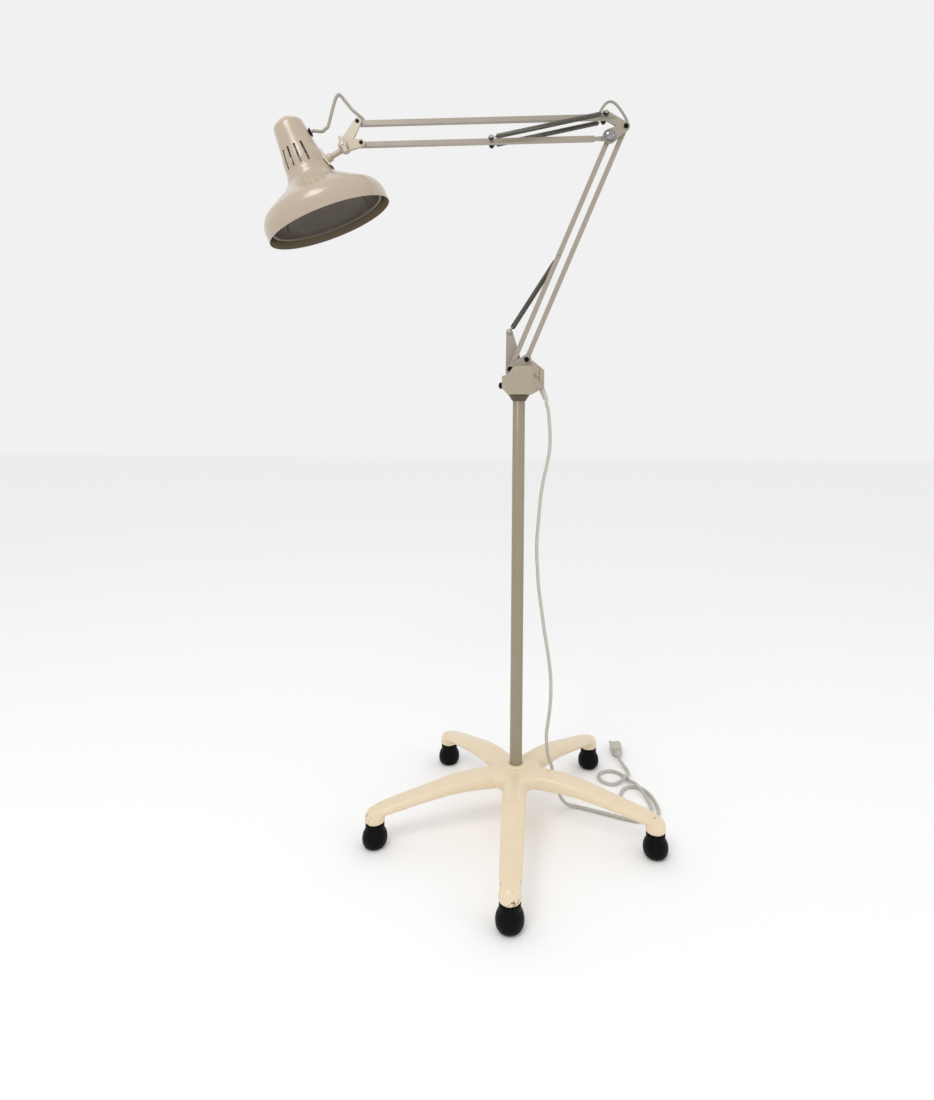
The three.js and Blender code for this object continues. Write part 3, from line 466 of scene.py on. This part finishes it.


# %% [markdown]
# ## Mains cord
# The lead leaves a tapered gland under the housing, hangs beside the pole in a slow curve, goes
# to the floor behind the front right leg and lies there in two loose loops up to its plug. The
# top turns with the bracket and the rest stays on the floor; here the lead is one mesh fixed in
# the frame.

# %% Mains cord
CORD_RADIUS = 3.5
LIES = CORD_RADIUS + 0.1
CROSSES = LIES + CORD_RADIUS * 2 + 0.5
HALF = (LIES + CROSSES) / 2
cord_hangs = [
    (55.6, 857), (56.4, 849), (59.6, 838), (62, 818), (64.2, 787), (63.4, 757), (58.2, 726),
    (51.5, 695.6), (46.7, 665), (43.7, 634), (41.3, 604), (39.1, 573), (39.2, 542.6), (40.9, 512),
    (43, 481.5), (46.9, 451), (51.4, 420.5), (55.6, 390), (60.9, 359), (65.5, 329), (69.2, 298),
    (70.3, 268), (69.1, 237), (65.7, 206.6), (62, 178), (63, 155),
]
cord_lies = [
    (66, 12, 130), (73, 18, 109), (82, 28, 70), (93, 39, 34), (108, 48, 11), (132, 50, LIES),
    (180, 30, LIES), (228, 9, LIES), (256, 2, LIES), (282, 8, LIES),
    (298, 30, LIES), (300, 62, LIES), (294, 96, LIES), (281, 120, LIES),
    (262, 128, LIES), (243, 120, LIES), (231, 98, LIES), (227, 70, LIES),
    (232, 44, LIES), (244, 25, LIES), (262, 18, LIES), (279, 27, LIES),
    (286, 46, LIES), (286, 72, LIES), (280, 98, HALF), (269, 126, CROSSES),
    (262, 142, HALF), (256, 158, LIES), (248, 174, LIES), (236, 188, LIES),
    (218, 193, LIES), (200, 184, LIES), (192, 165, LIES), (200, 146, LIES),
    (219, 137, LIES), (238, 143, HALF), (254, 159, CROSSES), (261, 178, HALF),
    (262, 198, LIES), (256, 218, 6), (251, 231, 9.6), (250, 239.8, 11),
]
DEPTHS = (0, 0, 2, 4)
cord_points = [
    spot(x, DEPTHS[i] if i < len(DEPTHS) else 5, z) for i, (x, z) in enumerate(cord_hangs)
] + [spot(*point) for point in cord_lies]
cord_line = smooth_line(cord_points, 8)
cord_mesh = swept_mesh("mains_lead", cord_line, CORD_RADIUS * MM, 6)
mains_lead = finished("mains_lead", cord_mesh, "mains", ["mains_cord"], body="none", smooth=0)
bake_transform(mains_lead)
print("mains lead", round(length_of(cord_line), 3), "m")

# %% [markdown]
# ## Softened pieces
# Plates, castings, bars and pins keep the measured shape. Real edges are never knife sharp, so
# each one is copied, its flat faces are merged, and its sharp edges get a small rounded bevel.


# %% Softened pieces
def modified(name, mesh, *modifiers):
    """A mesh after a list of (type, settings) modifiers."""
    holder = bpy.data.objects.new(name + "_work", mesh)
    bpy.context.scene.collection.objects.link(holder)
    for kind, settings in modifiers:
        modifier = holder.modifiers.new(kind.lower(), kind)
        for key, value in settings.items():
            setattr(modifier, key, value)
    bpy.context.view_layer.update()
    result = kept_mesh(holder)
    result.name = name
    return result


def softened_shape(node, width, segments=3, sharp=32, merge=True, shortest=0):
    shape = bmesh.new()
    shape.from_mesh(bpy.data.objects[node].data)
    bmesh.ops.remove_doubles(shape, verts=shape.verts, dist=0.00002)
    if merge:
        bmesh.ops.dissolve_limit(
            shape, angle_limit=math.radians(2), verts=shape.verts, edges=shape.edges,
            delimit={"NORMAL"},
        )
        bmesh.ops.dissolve_degenerate(shape, dist=0.00001, edges=shape.edges)
    limit = math.radians(sharp)
    edges = [
        e for e in shape.edges
        if len(e.link_faces) == 2 and e.calc_face_angle(0) > limit
        and e.calc_length() > shortest * MM
    ]
    if width:
        bmesh.ops.bevel(
            shape, geom=edges, offset=width * MM, offset_type="OFFSET", segments=segments,
            profile=0.5, affect="EDGES", clamp_overlap=True, material=-1,
        )
    bmesh.ops.recalc_face_normals(shape, faces=shape.faces)
    return shape


def softened(name, node, finish, width=0.4, segments=3, sharp=32, smooth=40, **more):
    mesh = made_mesh(name, softened_shape(node, width, segments, sharp, **more))
    for polygon in mesh.polygons:
        polygon.use_smooth = True
    mesh.set_sharp_from_angle(angle=math.radians(smooth))
    mesh = modified(name, mesh, ("WEIGHTED_NORMAL", {"keep_sharp": True, "weight": 80}))
    return finished(name, mesh, finish, [node], smooth=0)


# %% [markdown]
# ## Base
# The base is one casting: a domed hub that runs into five tapering legs. On the real piece every
# join is a generous fillet, so the measured shape is remeshed finely and relaxed, which rounds
# the joins as sand casting does.

# %% Base
base_shape = softened_shape("star_base", 0)
base_mesh = modified(
    "base_casting", made_mesh("base_rough", base_shape),
    ("REMESH", {"mode": "VOXEL", "voxel_size": 0.0026}),
    ("SMOOTH", {"factor": 0.5, "iterations": 14}),
)
finished("base_casting", base_mesh, "base", ["star_base"], smooth=0)
HUB_RING = [
    (12.9, 116), (31.4, 116), (31.2, 117.6), (30.5, 118.6), (29, 119.1), (22.2, 119.3), (21, 119.8),
    (20.2, 121.3), (19, 121.9), (13.4, 121.9), (12.9, 121.4),
]
turned(
    "hub_ring", HUB_RING, Matrix.Translation(POLE), "base", ["star_base"], closed=True, smooth=35,
)
print("base faces", len(base_mesh.polygons))

# %% [markdown]
# ## Glides, pole and bush
# Five black glides are turned knobs pressed up into the leg ends. The pole is a plain painted tube,
# and the bush at its top is a short cone on which the bracket swivels. Its dark brown is painted
# shade from under the housing.

# %% Glides and pole
GLIDE = [
    (0, 0), (14, 0), (16.5, 0.6), (20, 3.4), (22.4, 7), (23.5, 11), (23.9, 15), (23.8, 19),
    (23, 23.5), (21.6, 27.6), (19.2, 31.6), (18.3, 33.4), (18, 35), (18, 44.2), (17.5, 44.7),
    (5.2, 44.7), (5.2, 59), (0, 59),
]
for node in [n for n in BODY_OF if n.startswith("glide")]:
    low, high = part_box(node)
    centre = (Vector(low) + Vector(high)) / 2
    centre.z = 0
    turned(node + "_knob", GLIDE, Matrix.Translation(centre), "black", [node], steps=72, smooth=50)

pole_low, pole_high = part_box("pole")
POLE_FOOT, POLE_TOP = pole_low[2] / MM, pole_high[2] / MM
POLE_OUT, POLE_IN = 12.5, 11
turned("pole_tube", [
    (POLE_OUT, POLE_FOOT), (POLE_OUT, POLE_TOP - 0.5), (POLE_OUT - 0.4, POLE_TOP),
    (POLE_IN, POLE_TOP), (POLE_IN, POLE_FOOT),
], Matrix.Translation(POLE), "upright", ["pole"], steps=96, closed=True)
softened("pole_bolt_head", "pole_bolt", "steel", 0.4)
softened("top_bush", "pole_bush", "bush", 0.3, smooth=30)
softened("swivel_spindle", "swivel_pin", "steel", 0.2)

# %% [markdown]
# ## Bracket, housing and switch
# The swivelling bracket carries both lower bars, the spring's lever and a two-part plastic
# housing with the push switch. Screws close the housing from the back. The housing's faces are
# not merged before its bevel, and its shortest edges are left sharp.

# %% Bracket and housing
softened("bracket_casting", "arm_bracket", "arm", 0.7, 3)
softened("lever_plate", "spring_lever", "arm", 0.25)
softened("housing_near", "housing_front", "housing", 0.8, 3, merge=False, shortest=3)
softened("housing_far", "housing_back", "housing", 0.8, 3, merge=False, shortest=3)
for end in ("low", "high"):
    softened(f"housing_fixing_{end}", f"housing_screw_{end}", "steel", 0.25)
softened("switch_cap", "switch_button", "black", 0.5, 3)
softened("cord_strain_relief", "cord_gland", "mains", 0.3, smooth=30)

# %% [markdown]
# ## Arm bars and castings
# Square steel tubes are rolled, so their long corners are round. The pins, bolts and screws are
# turned, with thin chamfers.

# %% Arm bars and castings
for node in ("lower_bar_front", "lower_bar_rear", "upper_bar_top", "upper_bar_bottom"):
    softened(node + "_tube", node, "arm", 0.9, 3)
softened("elbow_casting", "elbow_plate", "arm", 1.1, 4)
softened("head_casting", "head_bracket", "cream", 1.0, 4)
for node, finish in (
    ("pivot_pin_front", "black"), ("pivot_pin_rear", "black"), ("lower_spring_bolt", "steel"),
    ("lower_spring_pin", "steel"), ("elbow_bolt", "steel"), ("elbow_screw", "black"),
    ("elbow_spring_pin", "steel"), ("bar_tongue", "steel"), ("bar_spring_pin", "steel"),
    ("head_pin_top", "black"), ("head_pin_bottom", "black"), ("clamp_bolt", "steel"),
):
    softened(node + "_turned", node, finish, 0.3, 2)
for node in ("elbow_spool_near", "elbow_spool_far", "bar_spool_near", "bar_spool_far"):
    softened(node + "_bush", node, "black", 0.3, 3, smooth=35)
softened("wing_nut_casting", "wing_nut", "cream", 0.8, 4)
softened("stem_rod", "head_stem", "cream", 0.5, 3)

# %% [markdown]
# ## Knob
# The elbow knob is turned brass, polished and chromed, with a low domed face.

# %% Knob
KNOB = [
    (0, 0), (8, 0), (9.8, 0.9), (10.5, 2.2), (10.7, 3.6), (10.5, 5.2), (10, 6.8), (9, 8),
    (7.6, 9.1), (6, 10), (4.3, 10.6), (2.5, 10.9), (0, 11),
]
knob_low, knob_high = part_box("elbow_knob")
knob_back = (Vector(knob_low) + Vector(knob_high)) / 2
knob_back.y = knob_high[1]
turned(
    "chrome_knob", KNOB, frame_along(knob_back, Vector((0, -1, 0))), "chrome", ["elbow_knob"],
    steps=72, smooth=60,
)

# %% [markdown]
# ## Head frame
# The shade, its liner, the lamp holder and the bulb share one axis. It runs from the middle of
# the shade's closed end, and it leans with the shade and rolls a little about the stem.

# %% Head frame
CLAMP = spot(-357, 0, 1366)
NECK_TOP = spot(-477.6, 0, 1423.3)
SHADE_TILT = math.radians(23.4)
HEAD_ROLL = math.radians(-6.05)
STEM_WAY = Vector(JOINTS["head_roll"]["axis"]).normalized()
axis = Vector((math.sin(SHADE_TILT), 0, -math.cos(SHADE_TILT)))
side = Vector((math.cos(SHADE_TILT), 0, math.sin(SHADE_TILT)))
basis = Matrix((side, Vector((0, -1, 0)), axis)).transposed().to_4x4()
about_stem = Matrix.Rotation(HEAD_ROLL, 4, STEM_WAY)
roll = Matrix.Translation(CLAMP) @ about_stem @ Matrix.Translation(-CLAMP)
HEAD = roll @ Matrix.Translation(NECK_TOP) @ basis
low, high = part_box("shade")
centre = (Vector(low) + Vector(high)) / 2
print("head axis", tuple(round(v, 3) for v in HEAD.to_3x3().col[2]), "shade centre", tuple(centre))

# %% [markdown]
# ## Shade
# The shade is spun sheet, so its section is a smooth line with a tight neck, a shoulder that
# opens into the bell, and a plain rolled lip. Four vent slots are punched on each side of the
# neck, and a hole takes the cable.

# %% Shade
SHADE = [
    (0, 0), (8, 1.6), (17, 6), (24, 11), (29, 16), (31.2, 25), (35.4, 59), (38.2, 76), (41.5, 94),
    (42.1, 104), (43.3, 114), (46.4, 122.5), (49.1, 130), (57.8, 139), (69.7, 148), (84.6, 157),
    (98.8, 166), (110, 173.4), (118.6, 180), (123.9, 188.6), (127.5, 198), (128.6, 206),
    (128.7, 225),
]
SHEET = 1.3


def offset_profile(profile, inward):
    """The profile moved square to itself toward its axis side."""
    moved = []
    for i, (radius, height) in enumerate(profile):
        before = profile[max(0, i - 1)]
        after = profile[min(len(profile) - 1, i + 1)]
        run = Vector((after[0] - before[0], after[1] - before[1])).normalized()
        moved.append((max(0, radius - run.y * inward), height + run.x * inward))
    return moved


def flat_line(profile, steps=3):
    return [(p.x, p.y) for p in smooth_line([Vector((r, h, 0)) for r, h in profile], steps)]


outer = flat_line(SHADE[:-1], 3) + [SHADE[-1]]
inner = offset_profile(outer, SHEET)
lip = [(128.7, 225), (128.5, 225.6), (128.05, 225.9), (127.6, 225.6), (127.4, 225)]
inner[0] = (0, SHEET)
section = outer + lip[1:] + list(reversed(inner[:-1]))
shade_shape = turned_shape(section, Matrix.Identity(4), steps=144)
shade_rough = made_mesh("shade_spun", shade_shape)

cutter = bmesh.new()
VENT_WIDE, VENT_FROM, VENT_TO = 4.4, 66, 107
VENT_MIDDLE, VENT_LONG = (VENT_FROM + VENT_TO) / 2, VENT_TO - VENT_FROM
VENT_CORNER = 1.2
NECK_RADIUS, PUNCH_DEPTH = 40, 30
VENTS = [67.5 + 22.5 * i for i in range(4)] + [-135 + 22.5 * i for i in range(4)]
for turn in VENTS:
    slot = bmesh.new()
    bmesh.ops.create_cube(slot, size=1)
    place = (
        Matrix.Rotation(math.radians(turn), 4, "Z")
        @ Matrix.Translation(Vector((NECK_RADIUS, 0, VENT_MIDDLE)) * MM)
        @ Matrix.Diagonal((PUNCH_DEPTH * MM, VENT_WIDE * MM, VENT_LONG * MM, 1))
    )
    bmesh.ops.transform(slot, matrix=place, verts=slot.verts)
    inward = place.to_3x3().col[0].normalized()
    corners = [
        e for e in slot.edges
        if abs((e.verts[0].co - e.verts[1].co).normalized().dot(inward)) > 0.9
    ]
    bmesh.ops.bevel(
        slot, geom=corners, offset=VENT_CORNER * MM, segments=3, profile=0.5, affect="EDGES",
        material=-1,
    )
    part = made_mesh("vent", slot)
    cutter.from_mesh(part)
GROMMET_DOWN, GROMMET_HOLE = 46, 6.3
grommet_hole = bmesh.new()
bmesh.ops.create_cone(
    grommet_hole, cap_ends=True, segments=48, radius1=GROMMET_HOLE * MM,
    radius2=GROMMET_HOLE * MM, depth=PUNCH_DEPTH * MM,
    matrix=frame_along(Vector((35, 0, GROMMET_DOWN)) * MM, Vector((1, 0, 0))),
)
cutter.from_mesh(made_mesh("grommet_cut", grommet_hole))
cutter_holder = bpy.data.objects.new("shade_cutters", made_mesh("shade_cutters", cutter))
bpy.context.scene.collection.objects.link(cutter_holder)
shade_mesh = modified(
    "bell_shade", shade_rough,
    ("BOOLEAN", {"object": cutter_holder, "operation": "DIFFERENCE", "solver": "EXACT"}),
)
bpy.data.objects.remove(cutter_holder)
shade = finished("bell_shade", shade_mesh, "shade", ["shade"], smooth=35)
# The inner faces of the bell take this dark brown as painted shade, since little light reaches
# there.
shade_mesh.materials.append(finishes["inside"])
for face in shade_mesh.polygons:
    outward = Vector((face.center.x, face.center.y, 0)).normalized()
    if face.normal.dot(outward) < -0.05 and face.center.z > 0.11:
        face.material_index = 1
shade_mesh.transform(HEAD)
print("shade faces", len(shade_mesh.polygons))
softened("shade_stud", "shade_foot", "cream", 0.4)

# %% [markdown]
# ## Liner, lamp holder and bulb
# The liner is spun sheet with a dull satin face, coloured dark grey-brown as painted shade for the
# shadowed inside of the bell. Two dark lines are painted on it as shade seen through its slots. It
# leaves a gap inside the lip. A porcelain holder carries a frosted lamp.

# %% Liner, holder and bulb
LINER = [(31, 121), (36, 126.4), (42, 131), (49.6, 137.8), (58, 145), (70.6, 154.4), (84, 164),
         (94.6, 172), (103, 181), (108, 188.4), (111, 196), (113, 203), (114, 210), (117, 211.4)]
liner_outer = flat_line(LINER, 2)
liner_inner = offset_profile(liner_outer, 1.2)
liner = turned(
    "liner_spun", liner_outer + list(reversed(liner_inner)), HEAD, "liner", ["reflector"],
    steps=144, closed=True, smooth=35,
)
liner.data.materials.append(finishes["gap"])
# The dark lines painted on the liner stand for shade seen through two slots.
SLOT_SHADE_TURNS, SLOT_SHADE_HALF = (-152, -42), 1.26
for face in liner.data.polygons:
    local = HEAD.inverted() @ face.center
    turn = math.degrees(math.atan2(local.y, local.x))
    if 0.130 < local.z < 0.198 and min(abs(turn - shaded_slot) for shaded_slot in SLOT_SHADE_TURNS) < SLOT_SHADE_HALF:
        face.material_index = 1
HOLDER = [(0, 22), (28.4, 22.6), (28.4, 26), (27.4, 26.8), (21, 27), (20.6, 27.6), (20, 77.2),
          (19.4, 78), (14.4, 78), (13.9, 77.5), (13.9, 44), (0, 44)]
turned("lamp_holder", HOLDER, HEAD, "porcelain", ["lamp_socket"], steps=72, smooth=35)
BULB = [
    (0, 45), (12.6, 45), (13.4, 46), (13.4, 79), (13.8, 81.4), (15, 84), (17.6, 93.6), (21, 105),
    (24.2, 115.6), (27.5, 127), (29, 135), (29.5, 143), (29.2, 151.6), (27.5, 160),
    (24.5, 168.4), (20, 175), (14.8, 180), (9, 183), (4.4, 184.2), (0, 184.5),
]
turned("frosted_lamp", BULB, HEAD, "bulb", ["bulb"], steps=96, smooth=60)
GROMMET = [(3.5, 27), (7.2, 27), (7.6, 27.4), (7.6, 29.1), (7.2, 29.5), (6.05, 29.5), (6, 35.3),
           (8.6, 35.3), (9, 35.8), (9, 36.6), (8.4, 37.8), (4, 37.8), (3.5, 37.3)]
neck_place = HEAD @ frame_along(Vector((0, 0, GROMMET_DOWN)) * MM, Vector((1, 0, 0)))
turned(
    "cable_grommet", GROMMET, neck_place, "black", ["neck_grommet"],
    steps=48, closed=True, smooth=35,
)
softened("plug_body", "plug", "mains", 0.6, 3)
softened("plug_contacts", "plug_pins", "steel", 0.3, 2)

# %% [markdown]
# ## Springs
# Each spring is one length of wire: a hook round its pin, a neck, and close-wound coils that
# taper at both ends. The coils stretch when the arm moves; here the coil mesh stays fixed in the
# frame, and only the hook at the far end rides on a body.

# %% Springs
WIRE = 0.85
PITCH = 1.85
ROUND = 14
LEVER_TOP = (-20.4, 997.5)
LOWER_PIN = (79.5, 1154.9)
ELBOW_TOP = (169.5, 1433.3)
UPPER_PIN = (-60.4, 1382.0)


def hook_line(centre, way, lift, eye, neck):
    """From the tip of the hook, round the pin, and out along the spring to its neck."""
    ring = eye + 0.95
    line = []
    for turn in range(-150, 151, 10):
        angle = math.radians(turn + 180)
        line.append(centre + (way * math.cos(angle) + lift * math.sin(angle)) * ring * MM)
    line.append(centre + (way * (ring + 1.2) + lift * -0.7) * MM)
    line += [centre + way * travel * MM for travel in (ring + 3.2, ring + 5, neck)]
    return smooth_line(line, 3)


def spring(name, start, end, depth, radius, eye, coil_node, hook_node):
    start, end = spot(start[0], depth, start[1]), spot(end[0], depth, end[1])
    span = (end - start).length / MM
    way = (end - start).normalized()
    lift = way.cross(Vector((0, 1, 0)))
    out = Vector((0, 1, 0))
    neck = eye + 6
    far = span - eye - 6
    wound = radius - WIRE
    turns = int((far - neck) / PITCH)
    line = hook_line(start, way, lift, eye, neck - 1)
    for i in range(turns * ROUND + 1):
        share = i / (turns * ROUND)
        travel = neck + (far - neck) * share
        near_end = min(share, 1 - share) * turns
        grown = wound * min(1, 0.2 + near_end / 1.6)
        angle = math.tau * i / ROUND
        around = lift * math.cos(angle) + out * math.sin(angle)
        line.append(start + (way * travel + around * grown) * MM)
    wound_mesh = swept_mesh(name, line, WIRE * MM, 2)
    coil = finished(name, wound_mesh, "spring", [coil_node], body="none", smooth=0)
    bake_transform(coil)
    hook = swept_mesh(name + "_hook", hook_line(end, -way, -lift, eye, neck), WIRE * MM, 3)
    finished(name + "_hook", hook, "spring", [hook_node], smooth=0)
    return turns


print("lower coils", spring(
    "balance_spring", LEVER_TOP, LOWER_PIN, 20, 5.5, 3.3,
    "lower_spring", "lower_spring_hook",
))
for way, depth in (("near", -20), ("far", 20)):
    print("upper coils", spring(
        f"arm_spring_{way}", ELBOW_TOP, UPPER_PIN, depth, 5, 3.7,
        f"upper_spring_{way}", f"upper_hook_{way}",
    ))

# %% [markdown]
# ## Cables
# One flexible cable loops over the elbow and another over the head, where they leave one tube and
# enter the next. Each is cut at a crown, so that every length crosses one joint.


# %% Cables
def along(start, end, travel):
    start, end = Vector(start), Vector(end)
    return start + (end - start).normalized() * travel


HEAD_PIN = (-330.2, 1415.9)
wire_out = along(ELBOW_TOP, HEAD_PIN, 10)
wire_in = along(HEAD_PIN, ELBOW_TOP, 9.5)
elbow_points = [
    spot(x, 0, z) for x, z in (
        (wire_out.x, wire_out.y + 1), (wire_out.x, wire_out.y + 9), (163.6, 1451), (171.6, 1461.6),
        (180.3, 1465.7), (188.9, 1462.7), (197, 1454.7), (204.5, 1444.5), (211, 1434),
        (214.6, 1426), (215.2, 1421.5),
    )
]
in_head = [HEAD @ (Vector((out, 0, GROMMET_DOWN)) * MM) for out in (24, 30, 36, 41)]
head_points = in_head + [spot(x, y, z) for x, y, z in (
    (-418.7, -6, 1398.2), (-403, -6, 1397), (-396.4, -6, 1402), (-391.6, -3, 1409),
    (-385, -3, 1434.7), (-379.6, -3, 1455.8), (-375.8, -3, 1467), (-368.8, -3, 1473.2),
    (-357, 0, 1460.5), (-342, 0, 1443), (wire_in.x - 0.5, 0, wire_in.y + 9),
    (wire_in.x, 0, wire_in.y + 1),
)]


def bending(name, points, radius, cuts, bodies, node):
    """One cable in lengths, cut at the numbered points. Each length stays fixed; bodies is not
    used.
    """
    steps = 8
    line = smooth_line(points, steps)
    marks = [0, *[cut * steps for cut in cuts], len(line) - 1]
    for number, (first, last) in enumerate(zip(marks, marks[1:]), 1):
        stretch = line[first:last + 1]
        mesh = swept_mesh(f"{name}_{number}", stretch, radius * MM, 5)
        piece = finished(f"{name}_{number}", mesh, "cable", [node], body="none", smooth=0)
        bodies[number - 1]
        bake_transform(piece)


bending("elbow_flex", elbow_points, 2.8, [4], ["upper_top", "elbow", "lower_rear"], "elbow_cable")
bending(
    "head_flex", head_points, 3.2, [5, 11], ["head", "stem", "head_joint", "upper_top"],
    "head_cable",
)

# %% [markdown]
# ## Finish
# The length of the mains lead is worked out once more.

# %% Finish
length_of(cord_line)
